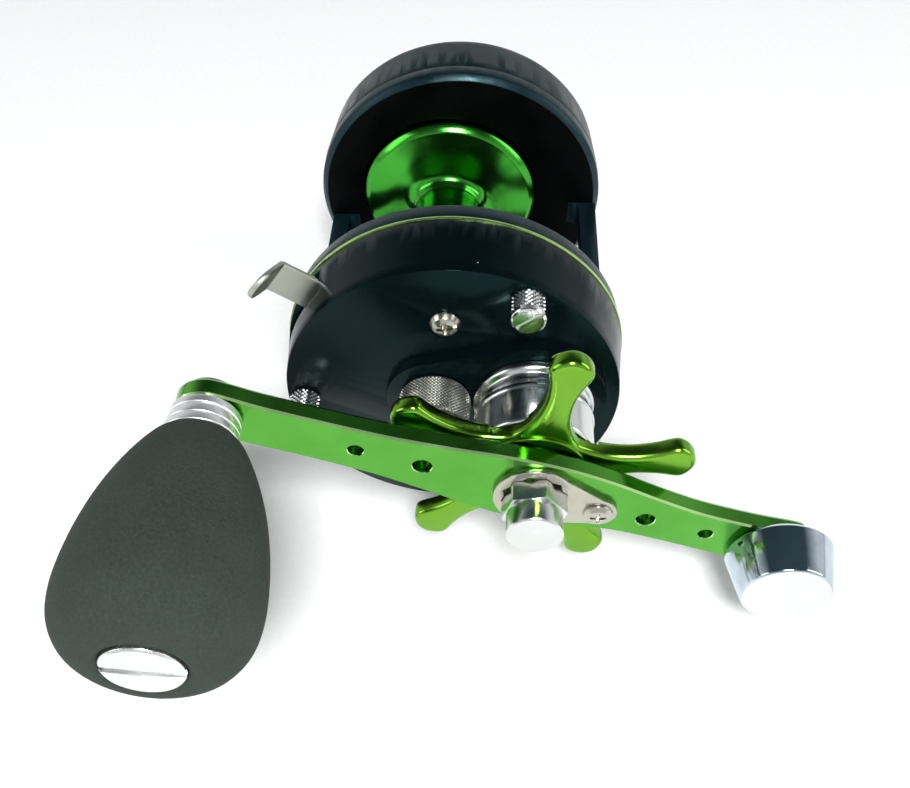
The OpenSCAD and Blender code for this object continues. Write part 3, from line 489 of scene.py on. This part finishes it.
# The thumb screws: a knurled drum and a slotted end disc for each solid of the node
SLOT_TURN, SLOT_DEPTH, SLOT_HALF = math.radians(38), 0.8, 0.4
DRUM_BACK, DRUM_FRONT = 4.7, 1.1
heads = []
for low, high in islands("thumb_screws"):
    centre = (low + high) / 2
    top, radius = high.x / MM, (high.y - low.y) / 2 / MM
    head_at = plane_at(centre, Vector((0, math.cos(SLOT_TURN), math.sin(SLOT_TURN))),
                       Vector((0, -math.sin(SLOT_TURN), math.cos(SLOT_TURN))))
    heads.append(knurled(radius - 0.1, top - DRUM_BACK, top - DRUM_FRONT, starts=20, pitch=0.8, depth=0.24,
                         matrix=head_at, name="thumb_knurl"))
    disc_profile = [(0, top - 1.3), (radius - 0.2, top - 1.25), (radius, top - 1.05), (radius, top - 0.35),
                    (radius - 0.1, top - 0.18), (radius - 0.35, top), (0, top)]
    slot = box_mesh((top - SLOT_DEPTH, -4, -SLOT_HALF), (top + 1, 4, SLOT_HALF), head_at)
    heads.append(cut(lathe(disc_profile, head_at, 64, "thumb_end"), [slot]))
finished("thumb_screw_heads", joined(heads, bpy.data.meshes.new("thumb_heads")), ["thumb_screws"],
         [BRIGHT_SCREW], sharp=20)

rounded("cover_screw", 0.08)

# The cast-control cap: a knurled drum with a plain end disc
cap_low, cap_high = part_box("cast_control_cap")
cap_at = plane_at(SPOOL)
cap_r, cap_end = (cap_high.y - cap_low.y) / 2 / MM, cap_high.x / MM
cap_mesh = knurled(cap_r, cap_low.x / MM, cap_end - 0.9, starts=60, pitch=0.62, depth=0.2, matrix=cap_at,
                   name="cap_skin")
cap_profile = [(0, cap_end - 1), (cap_r - 0.4, cap_end - 1), (cap_r - 0.5, cap_end - 0.4),
               (cap_r - 1.2, cap_end), (0, cap_end)]
cap_disc = lathe(rounded_corners(cap_profile, 0.25), cap_at, 96, "cap_end")
cap_piece = finished("cast_cap_knurled", joined([cap_mesh, cap_disc], cap_mesh), ["cast_control_cap"],
                     [KNURL_NICKEL, KNURL_SHADE], sharp=20)
# The knurl's deep faces take painted shade in their grooves
paint_groove_shade(cap_piece, SPOOL, 0.11 * MM)

# The polished sleeve around the main shaft
SLEEVE_R, SLEEVE_BORE_R, SLEEVE_OUTSIDE = 8.4, 5.4, 11.9
sleeve_low, sleeve_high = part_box("drag_sleeve")
s0, s1 = sleeve_low.x / MM, sleeve_high.x / MM
b0 = s1 - SLEEVE_OUTSIDE
sleeve_profile = [(SLEEVE_R, s0), (SLEEVE_R, b0), (9.4, b0 + 0.02), (9.68, b0 + 0.3), (9.68, b0 + 1.15),
                  (9.4, b0 + 1.5), (8.85, b0 + 1.9), (8.66, b0 + 2.8), (8.9, b0 + 3.7), (9.5, b0 + 4.3),
                  (9.58, b0 + 5.0), (9.33, b0 + 5.4), (9.33, s1 - 0.35), (9.05, s1),
                  (SLEEVE_BORE_R, s1), (SLEEVE_BORE_R, s0)]
finished("sleeve_polished", lathe(rounded_corners(sleeve_profile, 0.22), plane_at(SHAFT), 128, "sleeve"),
         ["drag_sleeve"])


# ---------- spool ----------

HUB_R, BORE_R, ARBOR_R, FACE_STEP = 3.6, 1.5, 6.3, 0.4
spool_low, spool_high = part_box("spool")
half = spool_high.x / MM
flange_r = (spool_high.y - spool_low.y) / 2 / MM
base = half - FACE_STEP
half_profile = [(flange_r - 0.5, half), (flange_r - 0.12, half - 0.15), (flange_r, half - 0.5),
                (flange_r, base - 0.9), (flange_r - 0.12, base - 1.12), (flange_r - 0.92, base - 1.92),
                (flange_r - 1.1, base - 2.03)]
throat = [(flange_r - 1.3, base - 2.1), (12, base - 3.3), (9.6, base - 4.08), (8.0, base - 4.6),
          (7.1, base - 5.2), (6.65, base - 5.9), (6.35, base - 6.5), (ARBOR_R, base - 7.4)]
half_profile += [tuple(p) for p in spline(throat, 5)]
recess = [(HUB_R, base - 3.6), (5.8, base - 3.6), (8.6, base - 2.6), (flange_r - 1.4, base - 0.5),
          (flange_r - 0.9, half)]
hub_ends = [(HUB_R, half), (BORE_R, half), (BORE_R, -half), (HUB_R, -half)]
spool_profile = ([(r, -x) for r, x in half_profile] + half_profile[::-1]
                 + recess[::-1] + hub_ends + [(r, -x) for r, x in recess])
finished("spool_turned", lathe(spool_profile, plane_at(SPOOL), 160, "spool"), ["spool"], [GREEN_SPOOL],
         sharp=40)


# ---------- clutch lever ----------

LEVER_DIR = math.radians(146.5)
LEVER_T, LEVER_HALF, LEVER_REACH, TONGUE = 0.9, 3.2, 18.4, 6.6
BEND, BEND_R = math.radians(62), 0.9
PIVOT_HUB_R, PIVOT_BORE_R, NOSE_SPAN = 4, 1.55, (-7.2, -4.0)
lever_at = plane_at(PIVOT, Vector((0, math.cos(LEVER_DIR), math.sin(LEVER_DIR))),
                    Vector((0, -math.sin(LEVER_DIR), math.cos(LEVER_DIR))))
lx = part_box("clutch_lever")[0].x / MM

# The strip's back face as a line of (u, x): straight, bent, and out to the tip of the tongue
bend_u = LEVER_REACH - 0.2 - BEND_R * math.tan(BEND / 2)
path = [(0.0, 0.0), (4.0, 0.0), (9.0, 0.0), (bend_u, 0.0)]
path += [(bend_u + BEND_R * math.sin(BEND * k / 6), BEND_R - BEND_R * math.cos(BEND * k / 6))
         for k in range(1, 7)]
last = path[-1]
path += [(last[0] + math.cos(BEND) * TONGUE * f, last[1] + math.sin(BEND) * TONGUE * f)
         for f in (0.2, 0.4, 0.55, 0.66, 0.75, 0.82, 0.875)]
length = [0.0]
for a, b in zip(path, path[1:]):
    length.append(length[-1] + math.dist(a, b))

# Half widths along it: even, then a round end
rows = []
for (u, x), s in zip(path, length):
    left = length[-1] + 0.02 - s
    w = LEVER_HALF
    if left <= LEVER_HALF:
        w = math.sqrt(max(0.04, LEVER_HALF ** 2 - (LEVER_HALF - left) ** 2))
    rows.append((u, x, w))

# Rings of eight points, two for each broken corner of the strip
rings = []
for i, (u, x, w) in enumerate(rows):
    a, b = rows[max(i - 1, 0)], rows[min(i + 1, len(rows) - 1)]
    along = Vector((b[0] - a[0], b[1] - a[1])).normalized()
    across = Vector((-along[1], along[0])) * LEVER_T
    soft = min(0.22, w * 0.5)
    ring = []
    for side, f in ((-1, 0.0), (1, 0.0), (1, 1.0), (-1, 1.0)):
        for first in (True, False):
            flat = first == (side * (1 if f == 0 else -1) < 0)
            dw, df = (w, soft / LEVER_T) if flat else (w - soft, 0.0)
            ff = df if f == 0 else 1 - df
            ring.append((lx + x + across[1] * ff, u + across[0] * ff, side * dw))
    rings.append(ring)
vertices, faces = skin(rings, closed=False)
faces += [tuple(range(8)), tuple(range(len(vertices) - 8, len(vertices)))]
lever_mesh = mesh_from("lever_strip", vertices, faces, lever_at)

pivot_hub = [(PIVOT_BORE_R, lx), (PIVOT_HUB_R, lx), (PIVOT_HUB_R, lx + LEVER_T), (PIVOT_BORE_R, lx + LEVER_T)]
hub = lathe(rounded_corners(pivot_hub, 0.2), plane_at(PIVOT), 64, "lever_hub")
wedge = [(0, -2.2), (0.45, -2.2), (0.45, 0), (1.75, 2.5), (1.75, 3.4), (0, 3.4)]
nose = mesh_from("nose", *skin([[(lx + x, u, w) for x, w in wedge] for u in NOSE_SPAN], closed=False),
                 matrix=lever_at)
finished("lever_bent", joined([lever_mesh, hub, nose], lever_mesh), ["clutch_lever"], [LEVER_STEEL], sharp=40)


# ---------- star drag ----------

star_low, star_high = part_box("star_drag")
STAR_BACK, STAR_HUB = star_low.x / MM, star_high.x / MM
STAR_FACE, STAR_SEAT = STAR_HUB - 0.5, STAR_HUB - 2.5
STAR_TURN, TIP_R, STAR_R, EDGE_R = math.radians(7), 3.3, 24.3, 1.0
STAR_RELIEF_R, STAR_HUB_R, STAR_BORE_R, STAR_WEB_R = 10.4, 8.2, 3.1, 8.7
QUARTER = [math.radians(90 * k / 5) for k in range(6)]


def star_outline():
    """One closed curve: five drumstick arms with deep round webs between them."""
    side = [(9.8, 3.3), (12.2, 2.5), (15.4, 2.15), (18.6, 2.5)]
    reach = STAR_R - TIP_R
    tip = [(reach + TIP_R * math.sin(a), TIP_R * math.cos(a))
           for a in (math.radians(d) for d in (10, 40, 70, 90))]
    half_arm = side + tip
    arm = [(u, -w) for u, w in half_arm] + [(u, w) for u, w in half_arm[-2::-1]]
    points = []
    for i in range(5):
        turn = STAR_TURN + math.tau * i / 5
        for u, w in arm:
            points.append((u * math.cos(turn) - w * math.sin(turn), u * math.sin(turn) + w * math.cos(turn)))
        web = turn + math.tau / 10
        points.append((STAR_WEB_R * math.cos(web), STAR_WEB_R * math.sin(web)))
    return spline(points, 4, closed=True)


# Quarter-round edges: rings from the face out to the side, then from the side in to the back
outline = star_outline()
rings = []
for a in QUARTER:
    ring = offset_outline(outline, EDGE_R * (1 - math.sin(a)))
    rings.append([(STAR_FACE - EDGE_R * (1 - math.cos(a)), *p) for p in ring])
for a in QUARTER:
    ring = offset_outline(outline, EDGE_R * (1 - math.cos(a)))
    rings.append([(STAR_BACK + EDGE_R * (1 - math.sin(a)), *p) for p in ring])
vertices, faces = skin(rings, closed=False)
n = len(outline)
faces += [tuple(range(n)), tuple(range(len(vertices) - n, len(vertices)))]
star_at = plane_at(SHAFT)
star_mesh = mesh_from("star", vertices, faces, star_at)
relief = [(0, STAR_BACK - 1), (STAR_RELIEF_R, STAR_BACK - 1), (STAR_RELIEF_R, STAR_SEAT), (0, STAR_SEAT)]
bore = [(0, STAR_BACK), (STAR_BORE_R, STAR_BACK), (STAR_BORE_R, STAR_HUB), (0, STAR_HUB)]
star_mesh = cut(star_mesh, [lathe(relief, star_at, 96, "relief"), lathe(bore, star_at, 64, "bore")])
hub_profile = [(STAR_BORE_R, STAR_SEAT + 0.1), (STAR_HUB_R, STAR_SEAT + 0.1), (STAR_HUB_R, STAR_HUB),
               (STAR_BORE_R, STAR_HUB)]
star_hub = lathe(rounded_corners(hub_profile, 0.3), star_at, 96, "hub")
finished("star_cast", joined([star_mesh, star_hub], star_mesh), ["star_drag"], [GREEN_STAR], sharp=30)


# ---------- crank arm ----------

KNOB_END_R, TAIL_END_R, SHAFT_HOLE_R, CHAMFER = 4.65, 5.25, 3.05, 0.3
ARM_HOLES = ((-17.6, 1.45), (18.3, 1.45), (-27.7, 1.15), (28.5, 1.15))


def arm_end(u, radius, degrees):
    """An arc around a point on the arm's middle line."""
    return [(u + radius * math.cos(math.radians(d)), radius * math.sin(math.radians(d))) for d in degrees]


arm_points = arm_end(-ARM_LEN / MM, KNOB_END_R, range(90, 271, 15))
arm_points += [(-46.5, -4.5), (-43.5, -4.25), (-39, -4.15), (-32, -4.2), (-24, -4.5), (-16, -5.45),
               (-9, -6.5), (-3, -6.95), (3, -6.65), (10, -5.3), (16, -4.4), (24, -4.25), (31, -4.35),
               (36.5, -4.6), (39.3, -4.85)]
arm_points += arm_end(TAIL_LEN / MM, TAIL_END_R, range(-75, 76, 15))
arm_points += [(39.3, 4.85), (36.5, 4.6), (31, 4.4), (25, 4.5), (18, 5.35), (11, 6.45), (4, 7.05),
               (-2, 6.95), (-8, 6.45), (-15, 5.5), (-24, 4.65), (-32, 4.4), (-39, 4.3), (-43.5, 4.35),
               (-46.5, 4.55)]
outline = spline(arm_points, 5, closed=True)

# A rounded edge at the back and a polished chamfer in front, whose lighter green is partly a painted highlight
x0, x1 = ARM_BACK / MM, ARM_FRONT / MM
rings = [[(x, *p) for p in offset_outline(outline, d)] for x, d in
         ((x0, 0.7), (x0 + 0.15, 0.4), (x0 + 0.4, 0.15), (x0 + 0.7, 0), (x1 - CHAMFER, 0), (x1, CHAMFER))]
vertices, faces = skin(rings, closed=False)
n = len(outline)
faces += [tuple(range(n))[::-1], tuple(range(len(vertices) - n, len(vertices)))]
crank_at = plane_at(SHAFT, ARM_DIR, ARM_UP)
arm_mesh = mesh_from("arm", vertices, faces, crank_at)
cutters = []
for u, r in ARM_HOLES:
    hole = [(0, x0 - 1), (r, x0 - 1), (r, x1 - 0.12), (r + 0.15, x1 + 0.03), (r + 0.15, x1 + 1), (0, x1 + 1)]
    cutters.append(lathe(hole, crank_at @ Matrix.Translation((0, u, 0)), 48, "hole"))
shaft_hole = [(0, x0 - 1), (SHAFT_HOLE_R, x0 - 1), (SHAFT_HOLE_R, x1 + 1), (0, x1 + 1)]
cutters.append(lathe(shaft_hole, crank_at, 48, "shaft_hole"))
arm_mesh = cut(arm_mesh, cutters)
finished("arm_forged", arm_mesh, ["handle_arm"], [MATERIALS["green_anodised"], GREEN_EDGE_HIGHLIGHT], sharp=25)
# The chamfer faces take the lighter green: polished metal with a painted highlight
for face in arm_mesh.polygons:
    if 0.3 < face.normal.x < 0.95:
        face.material_index = 1

for fitting, edge_width in (("lock_plate", 0.12), ("lock_screw", 0.08), ("handle_nut", 0.22),
                            ("knob_spindle", 0.1)):
    rounded(fitting, edge_width, 3)


# ---------- counterweight ----------

w0, w1 = WEIGHT_LOW.x / MM, WEIGHT_HIGH.x / MM
weight_profile = [(0, w0), (7.7, w0), (8.45, w0 + 0.8), (7.0, w1 - 0.3), (6.7, w1), (0, w1)]
weight_at = crank_at @ Matrix.Translation((0, TAIL_LEN / MM, 0))
weight_mesh = lathe(rounded_corners(weight_profile, 0.2, 4), weight_at, 128, "weight")
finished("counterweight_turned", weight_mesh, ["counterweight"], [MATERIALS["chrome"], BRUSHED_END])
for face in weight_mesh.polygons:
    if face.normal.x > 0.9:
        face.material_index = 1


# ---------- power knob ----------

knob_at = plane_at(KNOB, ARM_DIR, ARM_UP)
k0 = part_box("knob_ferrule")[0].x / MM
ferrule = [(3.6, k0), (4.85, k0), (5.15, k0 + 0.3), (5.15, k0 + 1.4), (4.8, k0 + 1.6), (5.2, k0 + 1.8),
           (5.35, k0 + 3.2), (5.0, k0 + 3.4), (5.5, k0 + 3.6), (5.65, k0 + 4.85), (4.6, k0 + 5.6),
           (3.6, k0 + 5.6)]
finished("ferrule_turned", lathe(rounded_corners(ferrule, 0.12), knob_at, 96, "ferrule"), ["knob_ferrule"],
         [KNOB_STEEL])
grip_side = spline([(5.65, k0 + 5.1), (7.0, k0 + 6.8), (9.0, k0 + 10.8), (10.85, k0 + 15.8),
                    (12.1, k0 + 20.8), (12.85, k0 + 25.8), (13.05, k0 + 30.4), (12.45, k0 + 34.0),
                    (10.8, k0 + 36.7), (8.6, k0 + 38.2), (6.4, k0 + 38.75)], 8)
grip_start = [(3.7, k0 + 5.6), (5.0, k0 + 5.2)]
grip_end = [(5.6, k0 + 38.7), (5.3, k0 + 38.3), (5.3, k0 + 37.6), (3.7, k0 + 37.6)]
grip = grip_start + [tuple(p) for p in grip_side] + grip_end
grip_piece = finished("grip_foam", lathe(grip, knob_at, 160, "grip"), ["knob_grip"], sharp=50)
rounded("knob_cap", 0.2, 3, [BRUSHED_END])


# ---------- stage ----------

def area_light(name, at, aim, size, power):
    data = bpy.data.lights.new(name, "AREA")
    data.shape, data.size, data.size_y = "RECTANGLE", size[0], size[1]
    data.energy = power
    light = bpy.data.objects.new(name, data)
    light.location = at
    light.rotation_euler = (Vector(aim) - Vector(at)).to_track_quat("-Z", "Y").to_euler()
    bpy.context.scene.collection.objects.link(light)


middle = (cad_box[0] + cad_box[1]) / 2
area_light("key_soft", (0.50, 0.05, 0.66), middle, (0.2, 0.2), 7.6)
area_light("left_soft", (0.25, -0.65, 0.35), middle, (0.3, 0.4), 1.0)
area_light("right_soft", (0.10, 0.65, 0.35), middle, (0.25, 0.5), 1.2)

world = bpy.data.worlds.new("studio")
world.use_nodes = True
sky = world.node_tree
upward = add(sky, "SeparateXYZ", {0: sky.nodes.new("ShaderNodeTexCoord").outputs["Generated"]}).outputs[2]
sky_ramp = sky.nodes.new("ShaderNodeValToRGB")
below, above = sky_ramp.color_ramp.elements[0], sky_ramp.color_ramp.elements[1]
below.position, above.position = 0.32, 0.72
below.color, above.color = (1.0, 1.0, 1.0, 1), (0.05, 0.08, 0.09, 1)
sky.links.new(upward, sky_ramp.inputs[0])
sky.links.new(sky_ramp.outputs[0], sky.nodes["Background"].inputs["Color"])
sky.nodes["Background"].inputs["Strength"].default_value = 0.8
bpy.context.scene.world = world
bpy.context.scene.view_settings.view_transform = "Standard"

FLOOR = 3.0
floor_mesh = bpy.data.meshes.new("floor")
floor_mesh.from_pydata([(-FLOOR, -FLOOR, 0), (FLOOR, -FLOOR, 0), (FLOOR, FLOOR, 0), (-FLOOR, FLOOR, 0)], [],
                       [(0, 1, 2, 3)])
floor = bpy.data.objects.new("floor", floor_mesh)
bpy.context.scene.collection.objects.link(floor)
paper, paper_tree, paper_shader = tree_of("paper")
paper_noise = add(paper_tree, "TexNoise", {"Vector": place(paper_tree), "Scale": 900.0,
                                           "Detail": 2.0}).outputs[0]
paper_tree.links.new(mixed(paper_tree, paper_noise, (0.90, 0.90, 0.90), (0.93, 0.93, 0.93)),
                     paper_shader.inputs["Base Color"])
paper_shader.inputs["Roughness"].default_value = 0.9
floor_mesh.materials.append(paper)

# The camera stands above the crank side; seen from above, it looks nearly along the spool's axis
CAMERA_AT = Vector((0.1521, 0.0060, 0.1616))
AZIMUTH, ELEVATION = math.radians(2.35), math.radians(48.2)
SENSOR, LENS = 36.0, 43.5
back_dir = Vector((math.cos(ELEVATION) * math.cos(AZIMUTH), math.cos(ELEVATION) * math.sin(AZIMUTH),
                   math.sin(ELEVATION)))
camera_data = bpy.data.cameras.new("camera")
camera_data.sensor_width, camera_data.lens = SENSOR, LENS
camera_data.clip_start = 0.01
camera = bpy.data.objects.new("camera", camera_data)
camera.location = CAMERA_AT
camera.rotation_euler = back_dir.to_track_quat("Z", "Y").to_euler()
bpy.context.scene.collection.objects.link(camera)
bpy.context.scene.camera = camera
